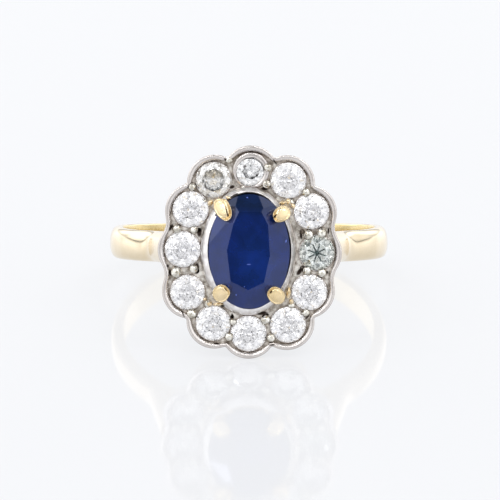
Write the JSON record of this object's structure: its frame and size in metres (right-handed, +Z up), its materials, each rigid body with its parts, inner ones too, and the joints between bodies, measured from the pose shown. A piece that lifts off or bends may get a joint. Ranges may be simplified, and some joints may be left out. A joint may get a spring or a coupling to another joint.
{
  "type": "sapphire and diamond cluster ring",
  "caption": "Finger ring with an oval sapphire in claws, circled by round diamonds in a scalloped white-gold head, on a plain yellow-gold band.",
  "frame": {"origin": "middle of the ring's footprint box, on the surface that it lies on", "axes": "+Z up from the surface; the ring lies on its side with its head towards -Y, leaning on its lowest lobe and on the back of the band; +X to the right as the head is seen"},
  "size_m": [0.0192, 0.0244, 0.0139],
  "materials": {
    "yellow_gold": "polished",
    "white_gold": "polished",
    "sapphire": "polished facets",
    "diamond": "polished facets"
  },
  "bodies": {
    "root": {"shank": "yellow_gold", "cluster_mount": "white_gold", "claw_setting": "yellow_gold", "sapphire": "sapphire", "diamond_01": "diamond", "diamond_02": "diamond", "diamond_03": "diamond", "diamond_04": "diamond", "diamond_05": "diamond", "diamond_06": "diamond", "diamond_07": "diamond", "diamond_08": "diamond", "diamond_09": "diamond", "diamond_10": "diamond", "diamond_11": "diamond", "diamond_12": "diamond"}
  },
  "joints": []
}
